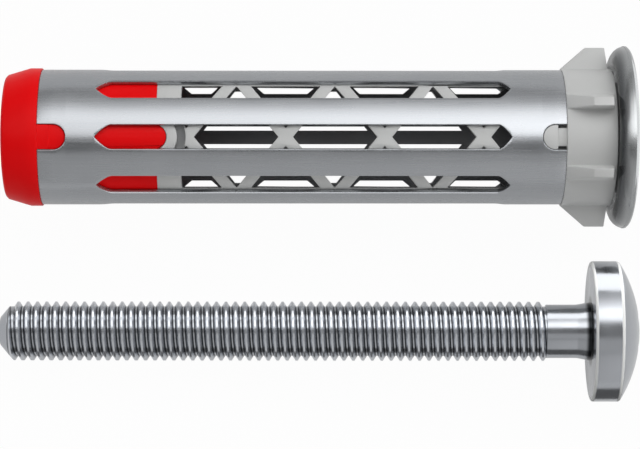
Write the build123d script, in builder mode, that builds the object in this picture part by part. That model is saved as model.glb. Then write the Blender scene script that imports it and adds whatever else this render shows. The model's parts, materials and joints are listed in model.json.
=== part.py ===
from build123d import *

import os
from math import atan2, cos, pi, radians, sin, tan

# A hollow wall anchor with its machine screw taken out and lying beside it, in millimetres, +Z up.
# Ground is z = 0. Both lie along X with their tips towards -X, each on its two widest rims, so
# each axis slopes by a few degrees. "Along" is measured on the anchor's axis from the outer
# face of the flange, and on the screw's axis from the underside of its head.

# Thread and the fits between pieces
thread_diameter = 5.0
thread_core_diameter = 4.2
bore_clearance = 0.15
slip_clearance = 0.05

# Steel sleeve: one drawn tube, slit lengthways into legs that fold outwards
sleeve_diameter = 11.25
sleeve_wall = 0.4
sleeve_length = 43.25
slot_count = 8
slot_width = 2.0
collar_band = 4.5
cap_band = 4.67
notch_width = 2.1
collar_notch = 2.0
cap_notch = 2.35

# Steel flange: a pressed disc, its rim sloping back into a bead, and a neck that enters the collar
flange_diameter = 15.25
flange_rim = 0.6
flange_web = 0.92
bead_diameter = 12.3
bead_foot = 0.6
bead_top = 1.5
bead_shoulder = 0.5
bead_fall = 0.3
rim_chamfer = 0.35
neck_wall = 0.75
neck_length = 5.1

# Nylon collar: barrel, six fins that stop it turning, keys and the cage behind it
collar_gap = 0.05
collar_length = 4.15
barrel_step = 0.1
hub_clearance = 0.95
fin_setback = 0.14
fin_thickness = 0.55
fin_draft = 6.5
fin_offset = 2.9
fin_crest = 1.62
fin_inset = 0.25
fin_lean = 0.25
key_neck_width = 1.5
key_neck_length = 0.75
key_neck_drop = 0.3
key_relief = 0.8
spigot_length = 2.74
cage_wall = 1.0
node_count = 4
strut_width = 1.2
rail_height = 1.0
window_corner = 0.4
web_height = 3.66
web_corner = 0.62
web_inset = 0.4
spine_width = 1.16
ring_length = 2.0
node_setback = 0.47
tongue_diameter = 2.0
tongue_reach = 0.8
lip_width = 0.9
lip_groove_width = 0.7
lip_groove_depth = 0.65

# Nylon end cap: a rim on the sleeve's end, a tapered nose and a body inside the sleeve
cap_rim_step = 0.12
cap_rim_length = 0.95
nose_length = 2.0
nose_taper = 0.6
nose_crown = 0.25
nose_chamfer = 0.15
cap_body_length = 9.7
cap_key_step = 0.95
cap_key_drop = 0.15
funnel_length = 1.6
nut_seat = 1.4

# Steel hexagon nut, moulded into the end cap
nut_across_flats = 8.0
nut_height = 4.0
nut_chamfer = 0.38

# Machine screw
screw_length = 49.9
head_diameter = 11.85
head_height = 2.34
head_crown = 1.75
head_chamfer = 0.22
shank_diameter = 4.5
neck_flare_diameter = 4.95
neck_flare_length = 1.2
shank_length = 3.8
point_length = 1.1
point_diameter = 2.4
recess_diameter = 5.0
recess_depth = 2.5
recess_rim = 0.85
recess_wing = 1.2
recess_angle = 45

# Where the two lie, and how far the anchor has rolled on the table, in degrees
axis_spacing = 16.33
anchor_shift = -0.32
anchor_roll = -1.8

# Radii and stations that follow from the sizes above
bore_radius = thread_diameter / 2 + bore_clearance
sleeve_radius = sleeve_diameter / 2
seat_radius = sleeve_radius - sleeve_wall - slip_clearance
cage_radius = seat_radius - cage_wall
rail_edge = seat_radius - rail_height
flange_radius = flange_diameter / 2
bead_radius = bead_diameter / 2
neck_radius = bore_radius + neck_wall
neck_end = flange_web + neck_length
hub_radius = bead_radius - bead_foot - hub_clearance
barrel_radius = sleeve_radius + barrel_step
fin_radius = flange_radius - fin_setback
cap_rim_radius = sleeve_radius + cap_rim_step
nose_radius = cap_rim_radius - nose_taper
collar_start = bead_top + collar_gap
sleeve_start = collar_start + collar_length
sleeve_end = sleeve_start + sleeve_length
spigot_end = sleeve_start + spigot_length
cage_end = sleeve_end - cap_body_length
ring_start = cage_end - ring_length
last_node = ring_start - node_setback
half_pitches = 2 * node_count - 1
node_pitch = 2 * (last_node - spigot_end) / half_pitches
nose_start = sleeve_end + cap_rim_length
nose_end = nose_start + nose_length
cap_end = nose_end + nose_crown
nut_end = sleeve_end - nut_seat
nut_start = nut_end - nut_height
nut_corner = nut_across_flats / 2 / cos(pi / 6)
nut_countersink = (thread_diameter - thread_core_diameter) / 2
tongue_centre = cage_end - tongue_reach + tongue_diameter / 2

# The anchor lies on the rim of its flange and on the rim of its end cap.
anchor_tilt = atan2(flange_radius - cap_rim_radius, nose_start - flange_rim)
anchor_height = flange_radius * cos(anchor_tilt) + flange_rim * sin(anchor_tilt)

# The screw lies on its head and on the last full turn of its thread.
thread_end = screw_length - point_length
head_fall = (head_diameter - thread_diameter) / 2
screw_tilt = atan2(head_fall, thread_end + head_chamfer)
screw_height = head_diameter / 2 * cos(screw_tilt) - head_chamfer * sin(screw_tilt)

head_top = -head_height - head_crown
screw_x = (screw_length + head_top) * cos(screw_tilt) / 2
anchor_x = cap_end * cos(anchor_tilt) / 2 + anchor_shift
anchor_y = (axis_spacing - flange_radius + head_diameter / 2) / 2
screw_y = anchor_y - axis_spacing

# Each axis has three planes: "across" looks along it, "profile" holds (radius, along) and
# "above" holds (along, across) as seen from the top.
anchor_level = Plane(
    origin=(anchor_x, anchor_y, anchor_height),
    x_dir=(-sin(anchor_tilt), 0, cos(anchor_tilt)),
    z_dir=(-cos(anchor_tilt), 0, -sin(anchor_tilt)),
)
anchor_across = Plane(anchor_level.location * Rotation(0, 0, anchor_roll))
anchor_profile = Plane(anchor_across.origin, anchor_across.x_dir, -anchor_across.y_dir)
anchor_above = Plane(anchor_across.origin, anchor_across.z_dir, anchor_across.x_dir)
anchor_axis = Axis(anchor_across.origin, anchor_across.z_dir)
screw_across = Plane(
    origin=(screw_x, screw_y, screw_height),
    x_dir=(-sin(screw_tilt), 0, cos(screw_tilt)),
    z_dir=(-cos(screw_tilt), 0, -sin(screw_tilt)),
)
screw_profile = Plane(screw_across.origin, screw_across.x_dir, -screw_across.y_dir)
screw_axis = Axis(screw_across.origin, screw_across.z_dir)

# Sleeve, with a slot at every leg boundary and a keyed notch at both ends, above and below
slot_start = sleeve_start + collar_band
slot_end = sleeve_end - cap_band
slot_turns = [Rotation(360 * leg / slot_count, 0, 0) for leg in range(slot_count)]
slot_planes = [Plane(anchor_above.location * turn) for turn in slot_turns]
with BuildPart() as sleeve:
    with BuildSketch(anchor_across.offset(sleeve_start)):
        Circle(sleeve_radius)
        Circle(sleeve_radius - sleeve_wall, mode=Mode.SUBTRACT)
    extrude(amount=sleeve_length)
    with BuildSketch(*slot_planes):
        with BuildLine():
            Polyline(
                (slot_start, 0),
                (slot_start + slot_width / 2, slot_width / 2),
                (slot_end - slot_width / 2, slot_width / 2),
                (slot_end, 0),
                (slot_end - slot_width / 2, -slot_width / 2),
                (slot_start + slot_width / 2, -slot_width / 2),
                close=True,
            )
        make_face()
    extrude(amount=sleeve_diameter, mode=Mode.SUBTRACT)
    with BuildSketch(anchor_above):
        for end, depth, inwards in ((sleeve_start, collar_notch, 1), (sleeve_end, cap_notch, -1)):
            centre = end + inwards * (depth - notch_width / 2)
            with Locations((end, 0)):
                Rectangle(2 * abs(centre - end), notch_width)
            with Locations((centre, 0)):
                Circle(notch_width / 2)
    extrude(amount=sleeve_diameter, both=True, mode=Mode.SUBTRACT)
sleeve.part.label = "sleeve"

# Flange, its rim sloping back into the bead, and the neck that the collar grips
with BuildPart() as flange:
    with BuildSketch(anchor_profile):
        with BuildLine():
            Polyline(
                (flange_radius, flange_rim),
                (flange_radius - bead_shoulder, bead_top - bead_fall),
                (bead_radius, bead_top),
                (bead_radius - bead_foot, flange_web),
                (neck_radius, flange_web),
                (neck_radius, neck_end),
                (bore_radius, neck_end),
                (bore_radius, 0),
                (flange_radius, 0),
                close=True,
            )
        disc = make_face()
        chamfer(disc.vertices().group_by(Axis.X)[-1].sort_by(Axis.Y)[0], rim_chamfer)
    revolve(axis=anchor_axis)
flange.part.label = "flange"

# Fins: a ridged ring cut down to six blades that thicken towards the axis by the mould's draft
fin_start = collar_start + fin_inset
fin_foot = fin_thickness + 2 * flange_radius * tan(radians(fin_draft))
with BuildPart() as fins:
    with BuildSketch(anchor_profile):
        with BuildLine():
            Polyline(
                (seat_radius, fin_start),
                (barrel_radius, fin_start),
                (fin_radius, fin_start + fin_lean),
                (fin_radius, fin_start + fin_lean + fin_crest),
                (barrel_radius, sleeve_start),
                (seat_radius, sleeve_start),
                close=True,
            )
        make_face()
    revolve(axis=anchor_axis)
    with BuildSketch(anchor_across.offset(collar_start)):
        with Locations((0, fin_offset), (0, -fin_offset), Rotation(0, 0, 90)):
            Polygon(
                (flange_radius, fin_thickness / 2),
                (0, fin_foot / 2),
                (-flange_radius, fin_thickness / 2),
                (-flange_radius, -fin_thickness / 2),
                (0, -fin_foot / 2),
                (flange_radius, -fin_thickness / 2),
                align=None,
            )
    extrude(amount=collar_length, mode=Mode.INTERSECT)

# Keys of the collar: a round-nosed head on a sunk neck, in the sleeve's notches above and below
collar_key_centre = sleeve_start + collar_notch - notch_width / 2
key_neck_centre = sleeve_start + key_neck_length / 2
with BuildPart() as collar_keys:
    with BuildSketch(anchor_above):
        with Locations((collar_key_centre, 0)):
            Circle(notch_width / 2 - slip_clearance)
        with Locations((key_neck_centre, 0)):
            Rectangle(key_neck_length, notch_width, mode=Mode.SUBTRACT)
            Rectangle(key_neck_length, key_neck_width)
    extrude(amount=sleeve_diameter, both=True)
    with BuildSketch(anchor_profile):
        with BuildLine():
            Polyline(
                (cage_radius, sleeve_start),
                (sleeve_radius - key_neck_drop, sleeve_start),
                (sleeve_radius - key_neck_drop, sleeve_start + key_neck_length),
                (sleeve_radius, sleeve_start + key_neck_length),
                (sleeve_radius, sleeve_start + collar_notch),
                (cage_radius, sleeve_start + collar_notch),
                close=True,
            )
        make_face()
    revolve(axis=anchor_axis, mode=Mode.INTERSECT)

# Collar and cage, one moulding. Its windows are open along the mould's draw, straight down
# through both walls: diamonds between crossed struts, and a V over each crossing. The far wall
# is stiffer: a spine runs down its middle and a web fills the foot of each V.
half_window = (node_pitch - strut_width) / 2
strut_slope = rail_edge / half_window
vee_foot = strut_width / 2 * strut_slope
vee_half = half_window - strut_width / 2
nodes = [last_node - node_pitch * n for n in range(node_count)]
window_centres = [node - node_pitch / 2 for node in nodes[:-1]]
web_top = vee_half - web_inset
web_foot = web_top - web_corner
with BuildPart() as collar:
    with BuildSketch(anchor_profile):
        with BuildLine():
            Polyline(
                (neck_radius + slip_clearance, flange_web),
                (hub_radius, flange_web),
                (hub_radius, collar_start),
                (barrel_radius, collar_start),
                (barrel_radius, sleeve_start),
                (seat_radius, sleeve_start),
                (seat_radius, cage_end),
                (cage_radius, cage_end),
                (cage_radius, spigot_end),
                (bore_radius, spigot_end - cage_wall),
                (bore_radius, neck_end + slip_clearance),
                (neck_radius + slip_clearance, neck_end + slip_clearance),
                close=True,
            )
        make_face()
    revolve(axis=anchor_axis)
    add(fins.part)
    add(collar_keys.part)
    with BuildSketch(anchor_above) as diamonds:
        with Locations(*[(centre, 0) for centre in window_centres]):
            Polygon((half_window, 0), (0, rail_edge), (-half_window, 0), (0, -rail_edge), align=None)
    extrude(amount=sleeve_radius, mode=Mode.SUBTRACT)
    with BuildSketch(anchor_above) as far_windows:
        add(diamonds.sketch_local)
        chamfer(far_windows.vertices().filter_by(lambda tip: abs(tip.Y) > rail_edge / 2), window_corner)
        with Locations(((ring_start + spigot_end) / 2, 0)):
            Rectangle(ring_start - spigot_end, spine_width, mode=Mode.SUBTRACT)
    extrude(amount=-sleeve_radius, mode=Mode.SUBTRACT)
    with BuildSketch(anchor_above):
        for side in (1, -1):
            with Locations(*[(node, 0) for node in nodes]):
                Polygon(
                    (0, side * vee_foot), (vee_half, side * rail_edge), (-vee_half, side * rail_edge),
                    align=None,
                )
        with Locations((spigot_end, 0)):
            Polygon((0, rail_edge), (0, -rail_edge), (half_window, 0), align=None)
        with Locations((ring_start, 0)):
            Rectangle(ring_length, sleeve_diameter, align=(Align.MIN, Align.CENTER), mode=Mode.SUBTRACT)
    extrude(amount=sleeve_radius, mode=Mode.SUBTRACT)
    with BuildSketch(anchor_above):
        for side in (1, -1):
            with Locations(*[(node, 0) for node in nodes]):
                Polygon(
                    (web_top, side * rail_edge), (web_foot, side * web_height),
                    (-web_foot, side * web_height), (-web_top, side * rail_edge),
                    align=None,
                )
            with Locations((ring_start, 0)):
                Polygon(
                    (0, side * rail_edge), (0, side * web_height), (-web_corner, side * web_height),
                    align=None, mode=Mode.SUBTRACT,
                )
        with Locations((ring_start, 0)):
            Rectangle(ring_length, sleeve_diameter, align=(Align.MIN, Align.CENTER), mode=Mode.SUBTRACT)
    extrude(amount=-sleeve_radius, mode=Mode.SUBTRACT)
    # A lipped notch in the end ring takes the end cap's tongue.
    with BuildSketch(anchor_above):
        with Locations((tongue_centre, 0)):
            Circle(tongue_diameter / 2 + slip_clearance)
    extrude(amount=sleeve_diameter, both=True, mode=Mode.SUBTRACT)
    groove_start = tongue_diameter / 2 + lip_width
    for face in (1, -1):
        with BuildSketch(anchor_above.offset(face * (seat_radius - lip_groove_depth))):
            with Locations((tongue_centre, 0)):
                Circle(groove_start + lip_groove_width)
                Circle(groove_start, mode=Mode.SUBTRACT)
        extrude(amount=face * cage_wall, mode=Mode.SUBTRACT)
    # The mould leaves a pocket on either side of each key's neck.
    for face in (1, -1):
        with BuildSketch(anchor_above.offset(face * (seat_radius - key_relief))):
            with Locations((key_neck_centre, 0)):
                Rectangle(key_neck_length, notch_width)
                Rectangle(key_neck_length, key_neck_width, mode=Mode.SUBTRACT)
        extrude(amount=face * cage_wall, mode=Mode.SUBTRACT)
collar.part.label = "collar"

# End cap: keys and tongues first, then the turned body with a hexagon pocket round the nut
cap_key_centre = sleeve_end - cap_notch + notch_width / 2
with BuildPart() as cap_keys:
    with BuildSketch(anchor_above):
        with Locations((cap_key_centre, 0)):
            Circle(notch_width / 2 - slip_clearance)
        with Locations(((cap_key_centre + sleeve_end) / 2, 0)):
            Rectangle(sleeve_end - cap_key_centre, notch_width - 2 * slip_clearance)
    extrude(amount=sleeve_diameter, both=True)
    with BuildSketch(anchor_profile):
        with BuildLine():
            Polyline(
                (cage_radius, sleeve_end - cap_notch),
                (sleeve_radius - cap_key_drop, sleeve_end - cap_notch),
                (sleeve_radius - cap_key_drop, sleeve_end - cap_key_step),
                (sleeve_radius, sleeve_end - cap_key_step),
                (sleeve_radius, sleeve_end),
                (cage_radius, sleeve_end),
                close=True,
            )
        make_face()
    revolve(axis=anchor_axis, mode=Mode.INTERSECT)

with BuildPart() as cap_tongues:
    with BuildSketch(anchor_above):
        with Locations((tongue_centre, 0)):
            Circle(tongue_diameter / 2)
    extrude(amount=sleeve_diameter, both=True)
    with BuildSketch(anchor_across.offset(cage_end - tongue_reach)):
        Circle(seat_radius)
        Circle(cage_radius, mode=Mode.SUBTRACT)
    extrude(amount=tongue_diameter, mode=Mode.INTERSECT)

with BuildPart() as end_cap:
    with BuildSketch(anchor_profile):
        with BuildLine():
            Polyline(
                (bore_radius, cap_end),
                (bore_radius, nut_start - slip_clearance),
                (cage_radius, nut_start - slip_clearance - funnel_length),
                (cage_radius, cage_end),
                (seat_radius, cage_end),
                (seat_radius, sleeve_end),
                (cap_rim_radius, sleeve_end),
                (cap_rim_radius, nose_start),
                (nose_radius, nose_end),
            )
            TangentArc((bore_radius, cap_end), (nose_radius, nose_end), tangent=(1, 0))
        body = make_face()
        chamfer(body.vertices().group_by(Axis.Y)[-2], nose_chamfer)
    revolve(axis=anchor_axis)
    add(cap_keys.part)
    add(cap_tongues.part)
    with BuildSketch(anchor_across.offset(nut_start - slip_clearance)):
        RegularPolygon(nut_across_flats / 2 + slip_clearance, 6, major_radius=False)
    extrude(amount=nut_height + 2 * slip_clearance, mode=Mode.SUBTRACT)
end_cap.part.label = "end_cap"

# Nut, chamfered on both faces, with its thread bored to the core diameter
with BuildPart() as nut:
    with BuildSketch(anchor_across.offset(nut_start)):
        RegularPolygon(nut_across_flats / 2, 6, major_radius=False)
    extrude(amount=nut_height)
    with BuildSketch(anchor_profile):
        with BuildLine():
            Polyline(
                (thread_core_diameter / 2, nut_start + nut_countersink),
                (thread_diameter / 2, nut_start),
                (nut_across_flats / 2, nut_start),
                (nut_corner, nut_start + nut_chamfer),
                (nut_corner, nut_end - nut_chamfer),
                (nut_across_flats / 2, nut_end),
                (thread_diameter / 2, nut_end),
                (thread_core_diameter / 2, nut_end - nut_countersink),
                close=True,
            )
        make_face()
    revolve(axis=anchor_axis, mode=Mode.INTERSECT)
nut.part.label = "nut"

# Driver recess: a cross cut down to a cone, so that its wings narrow to a point
with BuildPart() as recess:
    with BuildSketch(screw_across.offset(head_top)):
        with Locations(Rotation(0, 0, recess_angle)):
            Rectangle(recess_diameter, recess_wing)
            Rectangle(recess_wing, recess_diameter)
    extrude(amount=recess_depth)
    with BuildSketch(screw_profile):
        Polygon(
            (0, head_top),
            (recess_diameter / 2, head_top),
            (recess_diameter / 2, head_top + recess_rim),
            (0, head_top + recess_depth),
            align=None,
        )
    revolve(axis=screw_axis, mode=Mode.INTERSECT)

# Screw: domed head, flared neck, plain shank and the threaded length at its full diameter
with BuildPart() as screw:
    with BuildSketch(screw_profile):
        with BuildLine():
            Polyline(
                (0, head_top),
                (0, screw_length),
                (point_diameter / 2, screw_length),
                (thread_diameter / 2, thread_end),
                (thread_diameter / 2, shank_length),
                (shank_diameter / 2, shank_length),
                (shank_diameter / 2, neck_flare_length),
                (neck_flare_diameter / 2, 0),
                (head_diameter / 2, 0),
                (head_diameter / 2, -head_height),
            )
            crown_radius = ((head_diameter / 2) ** 2 + head_crown**2) / (2 * head_crown)
            RadiusArc((head_diameter / 2, -head_height), (0, head_top), crown_radius)
        outline = make_face()
        chamfer(outline.vertices().group_by(Axis.X)[-1], head_chamfer)
    revolve(axis=screw_axis)
    add(recess.part, mode=Mode.SUBTRACT)
screw.part.label = "screw"

os.makedirs("parts", exist_ok=True)
for piece in (sleeve, flange, collar, end_cap, nut, screw):
    export_step(piece.part, f"parts/{piece.part.label}.step")
    print(piece.part.label, round(piece.part.volume, 1), piece.part.is_valid)
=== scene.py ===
"""A hollow wall anchor with its machine screw taken out, the two lying side by side on a white table.

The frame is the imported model's: metres, +Z up, both axes nearly along X with their tips towards -X.
Each piece is drawn in millimetres about its own axis and then laid in its place.
"""

import json
from math import asin, cos, pi, radians, sin, sqrt, tan

import bmesh
import bpy
from mathutils import Matrix, Vector


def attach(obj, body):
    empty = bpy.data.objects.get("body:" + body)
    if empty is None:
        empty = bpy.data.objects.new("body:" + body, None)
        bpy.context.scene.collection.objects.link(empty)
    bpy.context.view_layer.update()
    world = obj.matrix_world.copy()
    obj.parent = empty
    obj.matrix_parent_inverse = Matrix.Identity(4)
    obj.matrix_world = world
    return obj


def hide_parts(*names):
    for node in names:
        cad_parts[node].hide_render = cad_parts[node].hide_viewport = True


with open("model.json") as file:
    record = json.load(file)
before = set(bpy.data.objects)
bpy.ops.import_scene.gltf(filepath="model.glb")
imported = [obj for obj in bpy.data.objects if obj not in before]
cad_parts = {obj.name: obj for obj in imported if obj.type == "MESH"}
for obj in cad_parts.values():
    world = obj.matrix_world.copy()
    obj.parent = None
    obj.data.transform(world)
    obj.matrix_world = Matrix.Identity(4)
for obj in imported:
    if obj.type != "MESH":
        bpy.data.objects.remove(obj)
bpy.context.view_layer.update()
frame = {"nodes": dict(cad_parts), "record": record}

# ---------------------------------------------------------------------------------------------
# Sleeve: one thin steel tube, slit lengthways into eight legs that fold outwards behind the board,
# with a keyed notch at both ends above and below. It is drawn as a flat blank and rolled up. Its
# finish is bright zinc over drawn steel, which leaves faint streaks along the tube.
# ---------------------------------------------------------------------------------------------
MM = 0.001
mounts = {mount["name"]: mount for mount in frame["record"]["mounts"]}


def along_axis(point, axis):
    """The place of a piece drawn in millimetres about +Z: X becomes up and Z becomes the axis."""
    ahead = Vector(axis).normalized()
    side = Vector((0, 1, 0))
    turn = Matrix((side.cross(ahead), side, ahead)).transposed().to_4x4()
    return Matrix.Translation(point) @ turn @ Matrix.Scale(MM, 4)


face, bore = mounts["flange_face"], mounts["screw_bore"]
anchor_roll = radians(-1.8)
face_centre = face["pos_m"][0], bore["pos_m"][1], face["pos_m"][2]
into_board = -Vector(face["axis"])
anchor_place = along_axis(face_centre, into_board) @ Matrix.Rotation(anchor_roll, 4, "Z")

sleeve_radius = 5.625
sleeve_wall = 0.4
sleeve_start = 5.7
sleeve_end = sleeve_start + 43.25
leg_count = 8
slot_half = 1.0
slot_tips = 1.05, 1.35
slot_tip_curve = 1.5
slot_start = sleeve_start + 4.5
slot_end = sleeve_end - 4.67
notch_half = 1.05
notch_depths = {sleeve_start: 2.0, sleeve_end: 2.35}


def slot_opening(along):
    """Half the width of the slot between two legs, which curves in to a point at both ends."""
    to_end = min((along - slot_start) / slot_tips[0], (slot_end - along) / slot_tips[1])
    return slot_half * (1 - (1 - max(0, min(1, to_end))) ** slot_tip_curve)


def notch_opening(along):
    """Half the width of the round-ended notch at either end of the tube."""
    for end, depth in notch_depths.items():
        past_centre = max(0, abs(along - end) - depth + notch_half)
        if past_centre < notch_half:
            return sqrt(notch_half**2 - past_centre**2)
    return 0


arc_steps = 8
stations = {sleeve_start, sleeve_end}
for step in range(arc_steps + 1):
    stations.add(slot_start + slot_tips[0] * step / arc_steps)
    stations.add(slot_end - slot_tips[1] * step / arc_steps)
for end, depth in notch_depths.items():
    inwards = 1 if end == sleeve_start else -1
    for step in range(arc_steps + 1):
        stations.add(end + inwards * (depth - notch_half + notch_half * sin(step / arc_steps * pi / 2)))
stations = sorted(stations)

leg_angle = 2 * pi / leg_count
leg_columns = 10
blank = bmesh.new()
for leg in range(leg_count):
    rows = []
    for along in stations:
        openings = [slot_opening(along)] * 2
        for side in (0, 1):
            if (leg + side) % (leg_count // 2) == 0:
                openings[side] += notch_opening(along)
        first = leg * leg_angle + asin(openings[0] / sleeve_radius)
        last = (leg + 1) * leg_angle - asin(openings[1] / sleeve_radius)
        turns = [first + (last - first) * column / leg_columns for column in range(leg_columns + 1)]
        rows.append([blank.verts.new((sleeve_radius * turn, along, 0)) for turn in turns])
    for row, next_row in zip(rows, rows[1:]):
        for column in range(leg_columns):
            blank.faces.new((row[column], row[column + 1], next_row[column + 1], next_row[column]))
sleeve_mesh = bpy.data.meshes.new("steel_sleeve")
blank.to_mesh(sleeve_mesh)
blank.free()
sleeve = bpy.data.objects.new("steel_sleeve", sleeve_mesh)
bpy.context.collection.objects.link(sleeve)


def srgb(value):
    """A colour written as sRGB hex, as the linear values that a shader takes."""
    channels = [int(value[i : i + 2], 16) / 255 for i in (0, 2, 4)]
    return [c / 12.92 if c <= 0.04045 else ((c + 0.055) / 1.055) ** 2.4 for c in channels] + [1]


def add_node(tree, kind, inputs=(), **settings):
    """Adds a node with its settings. Inputs are (socket, value or another node's output) pairs."""
    made = tree.nodes.new(kind)
    for name, value in settings.items():
        setattr(made, name, value)
    for name, value in dict(inputs).items():
        if isinstance(value, bpy.types.NodeSocket):
            tree.links.new(value, made.inputs[name])
        else:
            made.inputs[name].default_value = value
    return made


def new_material(name, colour, **values):
    """A material, and the tree, shader and coordinates to add to.

    The colour is its plain tone, which a pattern linked to the same socket stands in for.
    """
    material = bpy.data.materials.new(name)
    material.use_nodes = True
    tree = material.node_tree
    shader = tree.nodes["Principled BSDF"]
    shader.inputs["Base Color"].default_value = srgb(colour)
    for socket, value in values.items():
        shader.inputs[socket.replace("_", " ")].default_value = value
    where = add_node(tree, "ShaderNodeTexCoord").outputs["Object"]
    return material, tree, shader, where


# Noise keeps mostly to this middle part of its range.
noise_middle = {"From Min": 0.3, "From Max": 0.7}

# Drawn, zinc-plated steel: a soft grey mirror, streaked along the tube and faintly clouded. The
# streaks and grains of real plating are finer, and are drawn this coarse so that they show.
drawn_zinc, tree, shader, where = new_material("drawn_zinc_plated_steel", "a9abad", Metallic=1.0)
streak_length, streak_width, cloud, grain = 9 * MM, 0.22 * MM, 4 * MM, 0.16 * MM
drawn_out = {"Vector": where, "Scale": (1 / streak_length, 1 / streak_width, 1 / streak_width)}
stretched = add_node(tree, "ShaderNodeMapping", drawn_out)
streaky = {"Vector": stretched.outputs[0], "Scale": 1.0, "Detail": 3.0}
streaks = add_node(tree, "ShaderNodeTexNoise", streaky)
clouds = add_node(tree, "ShaderNodeTexNoise", {"Vector": where, "Scale": 1 / cloud, "Detail": 4.0})
grains = add_node(tree, "ShaderNodeTexNoise", {"Vector": where, "Scale": 1 / grain, "Detail": 2.0})
streaks_and_clouds = {0: streaks.outputs["Fac"], 1: clouds.outputs["Fac"]}
summed = add_node(tree, "ShaderNodeMath", streaks_and_clouds, operation="ADD")
mottle = add_node(tree, "ShaderNodeMath", {0: summed.outputs[0], 1: 0.5}, operation="MULTIPLY")
greys = {0: mottle.outputs[0], 6: srgb("9da0a4"), 7: srgb("b2b4b7")}
tone = add_node(tree, "ShaderNodeMix", greys, data_type="RGBA")
tree.links.new(tone.outputs[2], shader.inputs["Base Color"])
spread = {"Value": mottle.outputs[0], **noise_middle, "To Min": 0.22, "To Max": 0.32}
rough = add_node(tree, "ShaderNodeMapRange", spread)
tree.links.new(rough.outputs[0], shader.inputs["Roughness"])
streaks_and_grains = {0: streaks.outputs["Fac"], 1: 0.5, 2: grains.outputs["Fac"]}
relief = add_node(tree, "ShaderNodeMath", streaks_and_grains, operation="MULTIPLY_ADD")
streak_depth = 0.004 * MM
streaked = {"Height": relief.outputs[0], "Strength": 0.25, "Distance": streak_depth}
bump = add_node(tree, "ShaderNodeBump", streaked)
tree.links.new(bump.outputs[0], shader.inputs["Normal"])

# The blank is rolled round the axis, welded where the legs meet, and finished as a plain mesh.
roll = bpy.data.node_groups.new("roll_up", "GeometryNodeTree")
roll.interface.new_socket("Geometry", in_out="INPUT", socket_type="NodeSocketGeometry")
radius_in = roll.interface.new_socket("Radius", in_out="INPUT", socket_type="NodeSocketFloat")
finish_in = roll.interface.new_socket("Finish", in_out="INPUT", socket_type="NodeSocketMaterial")
roll.interface.new_socket("Geometry", in_out="OUTPUT", socket_type="NodeSocketGeometry")
given = add_node(roll, "NodeGroupInput")
flat = add_node(roll, "ShaderNodeSeparateXYZ", {0: add_node(roll, "GeometryNodeInputPosition").outputs[0]})
arc = {0: flat.outputs["X"], 1: given.outputs["Radius"]}
turned_by = add_node(roll, "ShaderNodeMath", arc, operation="DIVIDE")
around = {}
for name in ("COSINE", "SINE"):
    unit = add_node(roll, "ShaderNodeMath", {0: turned_by.outputs[0]}, operation=name)
    around[name] = add_node(
        roll, "ShaderNodeMath", {0: unit.outputs[0], 1: given.outputs["Radius"]}, operation="MULTIPLY"
    )
rolled = add_node(
    roll,
    "ShaderNodeCombineXYZ",
    {"X": around["COSINE"].outputs[0], "Y": around["SINE"].outputs[0], "Z": flat.outputs["Y"]},
)
tube = add_node(
    roll, "GeometryNodeSetPosition", {"Geometry": given.outputs["Geometry"], "Position": rolled.outputs[0]}
)
weld_distance = 0.002
welded = add_node(
    roll, "GeometryNodeMergeByDistance", {"Geometry": tube.outputs[0], "Distance": weld_distance}
)
real_tube = add_node(roll, "GeometryNodeRealizeInstances", {"Geometry": welded.outputs[0]})
plated_tube = add_node(
    roll, "GeometryNodeSetMaterial", {"Geometry": real_tube.outputs[0], "Material": given.outputs["Finish"]}
)
add_node(roll, "NodeGroupOutput", {"Geometry": plated_tube.outputs[0]})

roll_modifier = sleeve.modifiers.new("roll_up", "NODES")
roll_modifier.node_group = roll
roll_modifier[radius_in.identifier] = sleeve_radius
roll_modifier[finish_in.identifier] = drawn_zinc
wall = sleeve.modifiers.new("wall", "SOLIDIFY")
wall.thickness = sleeve_wall
wall.offset = -1
wall.use_even_offset = True


def soften(piece, width, angle):
    """Rounds the edges sharper than the angle, in two steps."""
    bevel = piece.modifiers.new("edges", "BEVEL")
    bevel.width = width
    bevel.segments = 2
    bevel.limit_method = "ANGLE"
    bevel.angle_limit = radians(angle)
    bevel.use_clamp_overlap = False


def lay(piece, place, sharp=35):
    """Makes the modifiers' result a plain mesh in its place, shaded smooth but for its sharp edges."""
    graph = bpy.context.evaluated_depsgraph_get()
    mesh = bpy.data.meshes.new_from_object(piece.evaluated_get(graph), depsgraph=graph)
    piece.modifiers.clear()
    piece.data = mesh
    mesh.transform(place)
    mesh.shade_smooth()
    mesh.set_sharp_from_angle(angle=radians(sharp))


sleeve_edge = 0.05
soften(sleeve, sleeve_edge, 40)
lay(sleeve, anchor_place)
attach(sleeve, "root")
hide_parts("sleeve")

# ---------------------------------------------------------------------------------------------
# Flange: a disc pressed from zinc-plated steel, its rim rounded back into a thick bead, with a neck
# that the collar is moulded on. It is turned from its section.
# ---------------------------------------------------------------------------------------------
flange_radius = 7.625
flange_web = 0.92
bead_radius = 6.15
bead_top = 1.5
bead_foot = 0.6
rim_rounding = 0.5
bead_rounding = 1.2
bore_radius = 2.65
neck_radius = bore_radius + 0.75
neck_end = flange_web + 5.1


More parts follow.
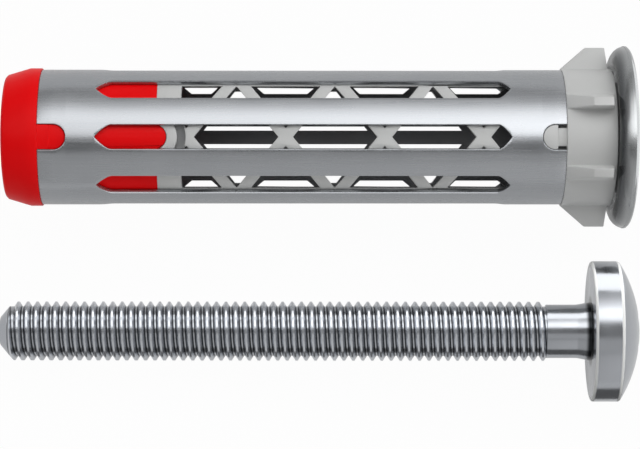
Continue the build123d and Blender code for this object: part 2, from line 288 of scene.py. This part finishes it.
def rounded(corners, steps=6):
    """An outline through (radius, along, rounding) corners, with an arc where there is a rounding."""
    outline = []
    for index, (radius, along, rounding) in enumerate(corners):
        corner = Vector((radius, along))
        if not rounding:
            outline.append(corner)
            continue
        back = (Vector(corners[index - 1][:2]) - corner).normalized()
        ahead = (Vector(corners[(index + 1) % len(corners)][:2]) - corner).normalized()
        half_angle = back.angle(ahead) / 2
        centre = corner + (back + ahead).normalized() * rounding / sin(half_angle)
        start = corner + back * rounding / tan(half_angle) - centre
        sweep = pi - 2 * half_angle
        way = 1 if back.cross(ahead) < 0 else -1
        for step in range(steps + 1):
            outline.append(centre + Matrix.Rotation(way * sweep * step / steps, 2) @ start)
    return outline


def turned(name, outline, material, closed=True, steps=128):
    """A body turned about +Z from its outline of (radius, along) points."""
    section = bmesh.new()
    points = [section.verts.new((radius, 0, along)) for radius, along in outline]
    ends = points[1:] + points[:1] if closed else points[1:]
    edges = [section.edges.new(pair) for pair in zip(points, ends)]
    bmesh.ops.spin(
        section,
        geom=points + edges,
        cent=(0, 0, 0),
        axis=(0, 0, 1),
        angle=2 * pi,
        steps=steps,
        use_merge=True,
    )
    bmesh.ops.remove_doubles(section, verts=section.verts, dist=0.0005)
    # On a ring the recalculation can settle on the inside, which its signed volume shows.
    bmesh.ops.recalc_face_normals(section, faces=section.faces)
    if section.calc_volume(signed=True) < 0:
        bmesh.ops.reverse_faces(section, faces=section.faces)
    mesh = bpy.data.meshes.new(name)
    section.to_mesh(mesh)
    section.free()
    mesh.materials.append(material)
    piece = bpy.data.objects.new(name, mesh)
    bpy.context.collection.objects.link(piece)
    return piece


def along_from(tree, where, point, axis):
    """How far the surface lies from a point, measured along an axis."""
    ends = {0: where, 1: tuple(point)}
    away = add_node(tree, "ShaderNodeVectorMath", ends, operation="SUBTRACT")
    both_ways = {0: away.outputs[0], 1: tuple(axis)}
    return add_node(tree, "ShaderNodeVectorMath", both_ways, operation="DOT_PRODUCT").outputs["Value"]


def tint(tree, shader, distance, near, far, near_colour, far_colour):
    """Turns the shader's colour from one to the other between two distances in millimetres."""
    spread = {"Value": distance, "From Min": near * MM, "From Max": far * MM}
    share = add_node(tree, "ShaderNodeMapRange", spread, interpolation_type="SMOOTHSTEP")
    colours = {0: share.outputs[0], 6: srgb(near_colour), 7: srgb(far_colour)}
    mix = add_node(tree, "ShaderNodeMix", colours, data_type="RGBA")
    tree.links.new(mix.outputs[2], shader.inputs["Base Color"])


# Pressed, zinc-plated steel: smoother than the drawn tube, and darkened with painted shade on the
# back, where the rim was rolled over.
pressed_zinc, tree, shader, where = new_material("pressed_zinc_plated_steel", "a6a8a9", Metallic=1.0)
inwards = along_from(tree, where, anchor_place.translation, into_board)
# Painted shade: full tone up to 0.55 mm in from the flange face, dark from 1.4 mm in.
tint(tree, shader, inwards, 0.55, 1.4, "a6a8a9", "505254")
press_cloud = 2.5 * MM
clouds = add_node(tree, "ShaderNodeTexNoise", {"Vector": where, "Scale": 1 / press_cloud, "Detail": 4.0})
spread = {"Value": clouds.outputs["Fac"], **noise_middle, "To Min": 0.2, "To Max": 0.3}
rough = add_node(tree, "ShaderNodeMapRange", spread)
tree.links.new(rough.outputs[0], shader.inputs["Roughness"])

flange = turned(
    "steel_flange",
    rounded(
        [
            (flange_radius, 0, rim_rounding),
            (flange_radius, bead_top, bead_rounding),
            (bead_radius, bead_top, 0.3),
            (bead_radius - bead_foot, flange_web, 0.3),
            (neck_radius, flange_web, 0),
            (neck_radius, neck_end, 0.1),
            (bore_radius, neck_end, 0.1),
            (bore_radius, 0, 0.3),
        ]
    ),
    pressed_zinc,
)
lay(flange, anchor_place)
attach(flange, "root")
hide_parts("flange")

# ---------------------------------------------------------------------------------------------
# Collar: light grey nylon, moulded in one with its six fins, its keys and the lattice cage that
# shows through the slots. The moulded form is the solid's own, with its edges softened.
# ---------------------------------------------------------------------------------------------


def moulded(name, node, material, edge):
    """A copy of a solid with whole faces and softened edges."""
    form = bmesh.new()
    form.from_mesh(frame["nodes"][node].data)
    bmesh.ops.remove_doubles(form, verts=form.verts, dist=0.0005 * MM)
    bmesh.ops.dissolve_limit(form, angle_limit=radians(1), verts=form.verts, edges=form.edges)
    mesh = bpy.data.meshes.new(name)
    form.to_mesh(mesh)
    form.free()
    mesh.materials.clear()
    mesh.materials.append(material)
    piece = bpy.data.objects.new(name, mesh)
    bpy.context.collection.objects.link(piece)
    soften(piece, edge * MM, 30)
    lay(piece, Matrix())
    return piece


nylon_ior = 1.53
peel_depth = 0.03 * MM


def from_axis(tree, where, point, axis):
    """The surface's distance from an axis through a point."""
    ends = {0: where, 1: tuple(point)}
    away = add_node(tree, "ShaderNodeVectorMath", ends, operation="SUBTRACT")
    both_ways = {0: away.outputs[0], 1: tuple(axis)}
    across = add_node(tree, "ShaderNodeVectorMath", both_ways, operation="CROSS_PRODUCT")
    length = add_node(tree, "ShaderNodeVectorMath", {0: across.outputs[0]}, operation="LENGTH")
    return length.outputs["Value"]


def orange_peel(tree, shader, where, size):
    """Gives moulded plastic its faint ripple."""
    peel = add_node(tree, "ShaderNodeTexNoise", {"Vector": where, "Scale": 1 / (size * MM), "Detail": 3.0})
    ripple = {"Height": peel.outputs["Fac"], "Strength": 0.3, "Distance": peel_depth}
    bump = add_node(tree, "ShaderNodeBump", ripple)
    tree.links.new(bump.outputs[0], shader.inputs["Normal"])


# Moulded nylon: satin, with the fine orange peel of the mould. Deep inside, near the axis, it is
# darkened with painted shade.
grey_nylon, tree, shader, where = new_material(
    "moulded_grey_nylon", "b8b9b8", IOR=nylon_ior, Roughness=0.42
)
off_anchor = from_axis(tree, where, anchor_place.translation, face["axis"])
# Painted shade: dark within 4.2 mm of the axis, full tone from 5.1 mm out.
tint(tree, shader, off_anchor, 4.2, 5.1, "6c6d70", "cecfce")
orange_peel(tree, shader, where, 0.5)

collar = moulded("nylon_collar", "collar", grey_nylon, 0.06)
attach(collar, "root")
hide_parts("collar")

# ---------------------------------------------------------------------------------------------
# End cap: bright red nylon, keyed to the sleeve's tip and locked to the cage by its tongues. The
# steel nut is moulded inside it, so only the nut's bore shows, from the tip.
# ---------------------------------------------------------------------------------------------
# Moulded nylon in one bright red: a little smoother than the collar's, and kept low in gloss.
red_nylon, tree, shader, where = new_material(
    "moulded_red_nylon", "f2080e", IOR=nylon_ior, Roughness=0.36, Specular_IOR_Level=0.06
)
orange_peel(tree, shader, where, 0.6)

end_cap = moulded("nylon_end_cap", "end_cap", red_nylon, 0.05)
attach(end_cap, "root")
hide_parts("end_cap")

nut = frame["nodes"]["nut"]
nut.data.materials.clear()
nut.data.materials.append(pressed_zinc)

# ---------------------------------------------------------------------------------------------
# Machine screw: cold-headed steel in bright zinc, with a domed head, a flared neck, a short plain
# shank and a thread rolled nearly down to the point. The thread is a ridge wound on the core.
# ---------------------------------------------------------------------------------------------
thread = mounts["screw_thread"]
thread_length = thread["dims"]["length_mm"]
thread_axis = Vector(thread["axis"])
shank_length = 3.8
under_head = Vector(thread["pos_m"]) - thread_axis * (thread_length / 2 + shank_length) * MM
screw_place = along_axis(under_head, thread_axis)

screw_length = 49.9
head_radius = 5.925
head_height = 2.34
head_crown = 1.75
shank_radius = 2.25
flare_radius = 2.475
flare_length = 1.2
point_length = 1.1
point_radius = 1.2
crest_radius = thread["dims"]["r_mm"]
pitch = 0.8
thread_depth = 0.41
thread_flank = 30
ridge_sink = 0.1
root_radius = crest_radius - thread_depth
root_half = pitch * 7 / 16 + ridge_sink * tan(radians(thread_flank))
crest_half = pitch / 10
core_slope = (crest_radius - point_radius) / point_length
core_end = screw_length - (root_radius - point_radius) / core_slope

# Bright zinc on cold-formed steel: nearly a mirror, with a little haze. The head's rims carry a pale,
# matt line of painted highlight, and the corner under the head is darkened with painted shade.
bright_zinc, tree, shader, where = new_material("bright_zinc_plated_steel", "b0b3b8", Metallic=1.0)
past_head = along_from(tree, where, under_head, thread_axis)
off_axis = from_axis(tree, where, under_head, thread_axis)


def off_plane(along):
    """The surface's distance from a plane square to the screw, at that place along it."""
    ends = {0: past_head, 1: along * MM}
    signed = add_node(tree, "ShaderNodeMath", ends, operation="SUBTRACT")
    return add_node(tree, "ShaderNodeMath", {0: signed.outputs[0]}, operation="ABSOLUTE").outputs[0]


corner_depth, rim_places = 0.1, (-0.08, -2.25)
rims = {index: off_plane(rim_place) for index, rim_place in enumerate(rim_places)}
to_rim = add_node(tree, "ShaderNodeMath", rims, operation="MINIMUM").outputs[0]
fades = {}
for name, distance, near, far in (
    ("clear along", off_plane(corner_depth), 0.12, 0.5),
    ("clear across", off_axis, 2.6, 3.2),
    ("inside the rims", to_rim, 0.06, 0.16),
    ("at the edge", off_axis, 5.45, 5.65),
):
    spread = {"Value": distance, "From Min": near * MM, "From Max": far * MM}
    fading = add_node(tree, "ShaderNodeMapRange", spread, interpolation_type="SMOOTHSTEP")
    fades[name] = fading.outputs[0]
# Painted shade: the corner where the shank meets the head's underside turns dark.
either_way = {0: fades["clear along"], 1: fades["clear across"]}
clear = add_node(tree, "ShaderNodeMath", either_way, operation="MAXIMUM").outputs[0]
# Painted highlight: a pale, matt line on both rims of the head's edge.
on_rim = add_node(tree, "ShaderNodeMath", {0: 1.0, 1: fades["inside the rims"]}, operation="SUBTRACT")
rim_at_edge = {0: fades["at the edge"], 1: on_rim.outputs[0]}
painted_rim_highlight = add_node(tree, "ShaderNodeMath", rim_at_edge, operation="MULTIPLY").outputs[0]
painted_shade_to_bright = {0: clear, 6: srgb("26282a"), 7: srgb("b0b3b8")}
steel_tone = add_node(tree, "ShaderNodeMix", painted_shade_to_bright, data_type="RGBA").outputs[2]
with_rims = {0: painted_rim_highlight, 6: steel_tone, 7: srgb("dcdddc")}
tone = add_node(tree, "ShaderNodeMix", with_rims, data_type="RGBA")
tree.links.new(tone.outputs[2], shader.inputs["Base Color"])
haze_size, rim_highlight_roughness = 1.2 * MM, 0.5
haze = add_node(tree, "ShaderNodeTexNoise", {"Vector": where, "Scale": 1 / haze_size, "Detail": 4.0})
spread = {"Value": haze.outputs["Fac"], **noise_middle, "To Min": 0.16, "To Max": 0.24}
rough = add_node(tree, "ShaderNodeMapRange", spread)
rim_highlight_matt = {0: painted_rim_highlight, 1: rim_highlight_roughness, 2: rough.outputs[0]}
matt = add_node(tree, "ShaderNodeMath", rim_highlight_matt, operation="MULTIPLY_ADD")
tree.links.new(matt.outputs[0], shader.inputs["Roughness"])

# The same zinc on the thread, light on the crests, with painted shade darkening it towards the roots.
thread_zinc, tree, shader, where = new_material(
    "rolled_zinc_plated_thread", "c4c7cc", Metallic=1.0, Roughness=0.22
)
off_thread = from_axis(tree, where, under_head, thread_axis)
# Painted shade: dark at the roots, 2.05 mm from the axis, full tone by 2.36 mm.
tint(tree, shader, off_thread, 2.05, 2.36, "3c3f44", "ced1d6")

crown_radius = (head_radius**2 + head_crown**2) / (2 * head_crown)
crown_angle = asin(head_radius / crown_radius)
crown_steps = 16
crown = []
for step in range(crown_steps):
    lean = crown_angle * step / crown_steps
    crown.append((crown_radius * sin(lean), crown_radius * (1 - cos(lean)) - head_height - head_crown, 0))
screw_body = turned(
    "machine_screw",
    rounded(
        crown
        + [
            (head_radius, -head_height, 0.22),
            (head_radius, 0, 0.2),
            (flare_radius, 0, 0.1),
            (shank_radius, flare_length, 0.8),
            (shank_radius, shank_length, 0.1),
            (root_radius, shank_length, 0),
            (root_radius, core_end, 0.1),
            (point_radius, screw_length, 0.15),
            (0, screw_length, 0),
        ]
    ),
    bright_zinc,
    closed=False,
)

# The recess in the head is a cross that narrows towards its bottom.
recess_depth = 2.5
recess_top = -head_height - head_crown - 0.05
cutter_form = bmesh.new()
crosses = []
for along, reach, wing in ((recess_top, 2.45, 0.62), (recess_top + recess_depth, 0.9, 0.4)):
    outline = []
    for quarter in range(4):
        for across, away in ((-wing, reach), (wing, reach), (wing, wing)):
            turn = radians(45 + 90 * quarter)
            outline.append((away * cos(turn) - across * sin(turn), away * sin(turn) + across * cos(turn)))
    crosses.append([cutter_form.verts.new((x, y, along)) for x, y in outline])
cutter_form.faces.new(crosses[0])
cutter_form.faces.new(reversed(crosses[1]))
top, bottom = crosses
for index in range(len(top)):
    cutter_form.faces.new((top[index - 1], top[index], bottom[index], bottom[index - 1]))
bmesh.ops.recalc_face_normals(cutter_form, faces=cutter_form.faces)
cutter_mesh = bpy.data.meshes.new("recess_cutter")
cutter_form.to_mesh(cutter_mesh)
cutter_form.free()
cutter = bpy.data.objects.new("recess_cutter", cutter_mesh)
bpy.context.collection.objects.link(cutter)
cut = screw_body.modifiers.new("recess", "BOOLEAN")
cut.object = cutter
cut.solver = "EXACT"
lay(screw_body, screw_place)
bpy.data.objects.remove(cutter)
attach(screw_body, "root")
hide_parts("screw")

# The ridge: a grid whose long way runs round the screw, and whose short way goes round the section.
# It starts under the end of the shank and dies out over half a turn at both ends.
run_in = pitch / 2
fade_turns = 0.5
steps_per_turn = 48
winding = bpy.data.node_groups.new("rolled_thread", "GeometryNodeTree")
winding.interface.new_socket("Geometry", in_out="INPUT", socket_type="NodeSocketGeometry")
sizes = {
    "Pitch": pitch,
    "Start": shank_length - run_in,
    "End": screw_length,
    "Crest Radius": crest_radius,
    "Base Radius": root_radius - ridge_sink,
    "Crest Half": crest_half,
    "Base Half": root_half,
    "Point Radius": point_radius,
    "Point Slope": core_slope,
    "Fade Turns": fade_turns,
}
size_ids = {}
for name in sizes:
    size_ids[name] = winding.interface.new_socket(
        name, in_out="INPUT", socket_type="NodeSocketFloat"
    ).identifier
steps_id = winding.interface.new_socket(
    "Steps per Turn", in_out="INPUT", socket_type="NodeSocketInt"
).identifier
finish_id = winding.interface.new_socket(
    "Finish", in_out="INPUT", socket_type="NodeSocketMaterial"
).identifier
winding.interface.new_socket("Geometry", in_out="OUTPUT", socket_type="NodeSocketGeometry")
section_points = 5
grid = add_node(
    winding, "GeometryNodeMeshGrid", {"Size X": 1.0, "Size Y": 1.0, "Vertices Y": section_points}
)
grid_place = add_node(winding, "GeometryNodeInputPosition").outputs[0]
on_grid = add_node(winding, "ShaderNodeSeparateXYZ", {0: grid_place}).outputs
aside = add_node(winding, "GeometryNodeIndexSwitch", data_type="FLOAT")
height = add_node(winding, "GeometryNodeIndexSwitch", data_type="FLOAT")
for switch in (aside, height):
    while len(switch.index_switch_items) < section_points:
        switch.index_switch_items.new()

# Each sum is its name, its operation and its terms: an input, an earlier sum or a number. The ridge
# stays just inside the cone of the point.
under_point = 0.02
sums = (
    ("span", "SUBTRACT", "End", "Start"),
    ("turns", "DIVIDE", "span", "Pitch"),
    ("steps", "MULTIPLY_ADD", "turns", "Steps per Turn", 1.0),
    ("columns", "ROUND", "steps"),
    ("share of turns", "ADD", "grid x", 0.5),
    ("turn at", "MULTIPLY", "share of turns", "turns"),
    ("share of section", "ADD", "grid y", 0.5),
    ("place in section", "MULTIPLY", "share of section", section_points - 1),
    ("corner", "ROUND", "place in section"),
    ("turns left", "SUBTRACT", "turns", "turn at"),
    ("turns to end", "MINIMUM", "turn at", "turns left"),
    ("fading", "DIVIDE", "turns to end", "Fade Turns"),
    ("fade", "MINIMUM", "fading", 1.0),
    ("centre at", "MULTIPLY_ADD", "turn at", "Pitch", "Start"),
    ("base ahead", "MULTIPLY", "Base Half", "fade"),
    ("crest ahead", "MULTIPLY", "Crest Half", "fade"),
    ("base back", "MULTIPLY", "base ahead", -1.0),
    ("crest back", "MULTIPLY", "crest ahead", -1.0),
    ("along", "ADD", "centre at", "aside"),
    ("to tip", "SUBTRACT", "End", "along"),
    ("point limit", "MULTIPLY_ADD", "to tip", "Point Slope", "Point Radius"),
    ("inside point", "SUBTRACT", "point limit", under_point),
    ("rise", "SUBTRACT", "Crest Radius", "Base Radius"),
    ("faded rise", "MULTIPLY", "rise", "fade"),
    ("ridge", "MULTIPLY_ADD", "faded rise", "height", "Base Radius"),
    ("radius", "MINIMUM", "ridge", "inside point"),
    ("angle", "MULTIPLY", "turn at", 2 * pi),
    ("cosine", "COSINE", "angle"),
    ("sine", "SINE", "angle"),
    ("x", "MULTIPLY", "cosine", "radius"),
    ("y", "MULTIPLY", "sine", "radius"),
)
known = {socket.name: socket for socket in add_node(winding, "NodeGroupInput").outputs}
known |= {"grid x": on_grid["X"], "grid y": on_grid["Y"]}
known |= {"aside": aside.outputs[0], "height": height.outputs[0]}
for name, operation, *terms in sums:
    inputs = {index: known.get(term, term) for index, term in enumerate(terms)}
    known[name] = add_node(winding, "ShaderNodeMath", inputs, operation=operation).outputs[0]
winding.links.new(known["columns"], grid.inputs["Vertices X"])
for switch in (aside, height):
    winding.links.new(known["corner"], switch.inputs[0])
offsets = ("base back", "crest back", "crest ahead", "base ahead", "base back")
at_crest = (0.0, 1.0, 1.0, 0.0, 0.0)
for index, (offset, crest_share) in enumerate(zip(offsets, at_crest), start=1):
    winding.links.new(known[offset], aside.inputs[index])
    height.inputs[index].default_value = crest_share
wound = add_node(
    winding, "ShaderNodeCombineXYZ", {"X": known["x"], "Y": known["y"], "Z": known["along"]}
)
ridges = add_node(
    winding, "GeometryNodeSetPosition", {"Geometry": grid.outputs["Mesh"], "Position": wound.outputs[0]}
)
closed = add_node(
    winding, "GeometryNodeMergeByDistance", {"Geometry": ridges.outputs[0], "Distance": weld_distance}
)
real_ridge = add_node(winding, "GeometryNodeRealizeInstances", {"Geometry": closed.outputs[0]})
plated_ridge = add_node(
    winding, "GeometryNodeSetMaterial", {"Geometry": real_ridge.outputs[0], "Material": known["Finish"]}
)
add_node(winding, "NodeGroupOutput", {"Geometry": plated_ridge.outputs[0]})

ridge_piece = bpy.data.objects.new("screw_thread", bpy.data.meshes.new("screw_thread"))
bpy.context.collection.objects.link(ridge_piece)
wind_modifier = ridge_piece.modifiers.new("rolled_thread", "NODES")
wind_modifier.node_group = winding
for name, value in sizes.items():
    wind_modifier[size_ids[name]] = value
wind_modifier[steps_id] = steps_per_turn
wind_modifier[finish_id] = thread_zinc
lay(ridge_piece, screw_place, sharp=30)
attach(ridge_piece, "root")

# ---------------------------------------------------------------------------------------------
# Table: a white sheet, not part of the product. What is seen straight on is nearly all its own
# glow, so that it stays white, with a trace of lit paper that keeps a faint shadow. Metal sees less
# of the glow.
# ---------------------------------------------------------------------------------------------
table_mesh = bpy.data.meshes.new("white_table")
table_half = 2.0
square = (-1, -1), (1, -1), (1, 1), (-1, 1)
table_corners = [(x * table_half, y * table_half, 0) for x, y in square]
table_mesh.from_pydata(table_corners, [], [(0, 1, 2, 3)])
table = bpy.data.objects.new("white_table", table_mesh)
bpy.context.collection.objects.link(table)
white_sheet = bpy.data.materials.new("white_sheet")
white_sheet.use_nodes = True
tree = white_sheet.node_tree
tree.nodes.clear()
seen = add_node(tree, "ShaderNodeLightPath").outputs
direct = add_node(
    tree, "ShaderNodeMath", {0: seen["Is Camera Ray"], 1: seen["Is Transmission Ray"]}, operation="MAXIMUM"
)
glow_seen, glow_mirrored = 0.97, 0.4
mirrored = add_node(
    tree, "ShaderNodeMath", {0: seen["Is Glossy Ray"], 1: glow_mirrored}, operation="MULTIPLY"
)
shares = {0: direct.outputs[0], 1: glow_seen, 2: mirrored.outputs[0]}
share = add_node(tree, "ShaderNodeMath", shares, operation="MULTIPLY_ADD")
paper = add_node(tree, "ShaderNodeBsdfDiffuse", {"Color": (0.8, 0.8, 0.8, 1)})
white = add_node(tree, "ShaderNodeEmission", {"Strength": 1.0})
sheet = add_node(
    tree, "ShaderNodeMixShader", {0: share.outputs[0], 1: paper.outputs[0], 2: white.outputs[0]}
)
add_node(tree, "ShaderNodeOutputMaterial", {"Surface": sheet.outputs[0]})
table_mesh.materials.append(white_sheet)

# ---------------------------------------------------------------------------------------------
# Studio light: a grey room with one long bright reflector overhead towards +Y and a dark gap beside
# it, all running along X. The world goes by the angle round the X axis, and is weaker towards the
# tips. Sheets that only metal and gloss see add the finer bands.
# ---------------------------------------------------------------------------------------------
studio = bpy.data.worlds.new("studio")
studio.use_nodes = True
bpy.context.scene.world = studio
tree = studio.node_tree
direction = add_node(tree, "ShaderNodeTexCoord").outputs["Generated"]
parts = add_node(tree, "ShaderNodeSeparateXYZ", {0: direction})
up_and_across = {0: parts.outputs["Y"], 1: parts.outputs["Z"]}
round_x = add_node(tree, "ShaderNodeMath", up_and_across, operation="ARCTAN2")
in_degrees = add_node(
    tree, "ShaderNodeMapRange", {"Value": round_x.outputs[0], "From Min": -pi, "From Max": pi}
)
ramp = add_node(tree, "ShaderNodeValToRGB", {0: in_degrees.outputs[0]})
levels = (
    (-180, 0.6),
    (-60, 0.73),
    (-38, 0.7),
    (-30, 0.45),
    (-22, 0.27),
    (15, 0.27),
    (22, 2.2),
    (30, 2.4),
    (40, 2.1),
    (50, 1.4),
    (60, 0.78),
    (75, 0.55),
    (100, 0.48),
    (130, 0.5),
    (180, 0.6),
)
brightest = max(level for degree, level in levels)


def set_stops(color_ramp, stops):
    """Gives a ramp its stops, as (position, grey) pairs."""
    made = color_ramp.elements
    while len(made) < len(stops):
        made.new(0.5)
    for element, (position, _) in zip(made, stops):
        element.position = position
    for element, (_, grey) in zip(made, stops):
        element.color = (grey, grey, grey, 1)


set_stops(ramp.color_ramp, [((degree + 180) / 360, level / brightest) for degree, level in levels])

# The light falls off towards the tips' side.
tip_side, head_side = -0.95, 0.06
spread = {"Value": parts.outputs["X"], "From Min": tip_side, "From Max": head_side}
ahead = add_node(tree, "ShaderNodeMapRange", spread)
fall = add_node(tree, "ShaderNodeValToRGB", {"Fac": ahead.outputs[0]})
falls = ((-0.95, 0.36), (-0.45, 0.78), (-0.15, 0.78), (0.06, 1.0))
set_stops(fall.color_ramp, [((x - tip_side) / (head_side - tip_side), level) for x, level in falls])
strength = add_node(tree, "ShaderNodeMath", {0: fall.outputs[0], 1: brightest}, operation="MULTIPLY")
background = tree.nodes["Background"]
tree.links.new(ramp.outputs[0], background.inputs["Color"])
tree.links.new(strength.outputs[0], background.inputs["Strength"])
sky = add_node(tree, "ShaderNodeBackground", {"Color": (1, 1, 1, 1), "Strength": 1.0})
eye = add_node(tree, "ShaderNodeLightPath").outputs["Is Camera Ray"]
chosen = add_node(tree, "ShaderNodeMixShader", {0: eye, 1: background.outputs[0], 2: sky.outputs[0]})
tree.links.new(chosen.outputs[0], tree.nodes["World Output"].inputs["Surface"])


def softbox(name, centre, turn, length, width, strength, tip_share=1):
    """A sheet that glows on one side, weaker towards the tips, and shows only in glossy surfaces."""
    corners = [(x * length / 2, y * width / 2, 0) for x, y in square]
    mesh = bpy.data.meshes.new(name)
    mesh.from_pydata(corners, [], [(0, 1, 2, 3)])
    mesh.transform(Matrix.Translation(centre) @ turn @ Matrix.Scale(MM, 4))
    glow = bpy.data.materials.new(name)
    glow.use_nodes = True
    glow.node_tree.nodes.clear()
    light = add_node(glow.node_tree, "ShaderNodeEmission", {"Strength": strength})
    if tip_share < 1:
        where = add_node(glow.node_tree, "ShaderNodeTexCoord").outputs["Object"]
        ahead = add_node(glow.node_tree, "ShaderNodeSeparateXYZ", {0: where}).outputs["X"]
        tips_at, heads_at = -30 * MM, 24 * MM
        places = {"Value": ahead, "From Min": tips_at, "From Max": heads_at}
        strengths = {"To Min": strength * tip_share, "To Max": strength}
        level = add_node(glow.node_tree, "ShaderNodeMapRange", {**places, **strengths})
        glow.node_tree.links.new(level.outputs[0], light.inputs["Strength"])
    clear = add_node(glow.node_tree, "ShaderNodeBsdfTransparent")
    side = add_node(glow.node_tree, "ShaderNodeNewGeometry")
    sheet_sides = {0: side.outputs["Backfacing"], 1: light.outputs[0], 2: clear.outputs[0]}
    one_sided = add_node(glow.node_tree, "ShaderNodeMixShader", sheet_sides)
    add_node(glow.node_tree, "ShaderNodeOutputMaterial", {"Surface": one_sided.outputs[0]})
    mesh.materials.append(glow)
    sheet = bpy.data.objects.new(name, mesh)
    sheet.visible_camera = False
    sheet.visible_diffuse = False
    sheet.visible_shadow = False
    sheet.visible_transmission = False
    bpy.context.collection.objects.link(sheet)


# Over the pair hang a bright sheet for the anchor and a dim one for the near side of the screw.
# Low down between the two, a bright strip lights the screw's far flank, a grey one behind it keeps
# the screw's dark side off the sleeve, and a short dim one hides the red cap from the thread. A dark
# strip runs along the screw's near side. The last three close the ends: one low and close beyond the
# flange, one well beyond the tips and one well beyond the heads.
facing_down = Matrix.Rotation(pi, 4, "X")
screw_fall = Matrix.Rotation(asin(thread_axis.z), 4, "Y")
facing_near = screw_fall @ Matrix.Rotation(pi / 2, 4, "X")
facing_far = screw_fall @ Matrix.Rotation(-pi / 2, 4, "X")
facing_tips = Matrix.Rotation(pi / 2, 4, "Z") @ Matrix.Rotation(-pi / 2, 4, "X")
facing_heads = Matrix.Rotation(pi / 2, 4, "Z") @ Matrix.Rotation(pi / 2, 4, "X")


def from_table(x, y, z):
    """A place in millimetres from the middle of the table."""
    return Vector((x, y, z)) * MM


def from_head(x, y, z):
    """A place in millimetres from the underside of the screw's head."""
    return under_head + Vector((x, y, z)) * MM


softbox(
    "anchor_softbox",
    from_table(0, 16.8, 51),
    facing_down,
    length=150,
    width=20.6,
    strength=2.5,
    tip_share=0.66,
)
softbox("screw_softbox", from_table(0, -24.5, 51), facing_down, length=150, width=19.4, strength=0.58)
softbox("low_softbox", from_head(-10, 7.8, 3.4), facing_near, length=110, width=3.9, strength=2.2)
softbox("dark_sheet", from_head(-10, -8.9, -0.8), facing_far, length=110, width=5.4, strength=0.14)
softbox("tip_sheet", from_head(-40, 7.8, -1.4), facing_near, length=36, width=5.6, strength=0.42)
softbox("grey_sheet", from_head(-10, 8.0, 2.6), facing_far, length=110, width=5.4, strength=0.62)
softbox("near_side_softbox", from_table(36, 15, 9), facing_tips, length=34, width=17, strength=1.7)
softbox("tip_side_softbox", from_table(-85, 0, 52), facing_heads, length=200, width=100, strength=0.5)
softbox("far_side_softbox", from_table(85, 0, 52), facing_tips, length=200, width=68, strength=1.6)

# ---------------------------------------------------------------------------------------------
# Camera: a long lens square above the pair. Both axes fall a few degrees towards their tips, and
# the camera leans with them, so that the round ends show edge on.
# ---------------------------------------------------------------------------------------------
camera_data = bpy.data.cameras.new("camera")
camera_data.lens = 138.0
camera_data.sensor_width = 36
camera_data.clip_start = 0.01
camera = bpy.data.objects.new("camera", camera_data)
camera_lean = radians(3.0)
camera_distance = 205 * MM
look_at = Vector((-0.07, 0.01, 7)) * MM
camera.location = look_at + camera_distance * Vector((-sin(camera_lean), 0, cos(camera_lean)))
camera.rotation_euler = (0, -camera_lean, 0)
bpy.context.collection.objects.link(camera)
bpy.context.scene.camera = camera
bpy.context.scene.view_settings.view_transform = "Standard"
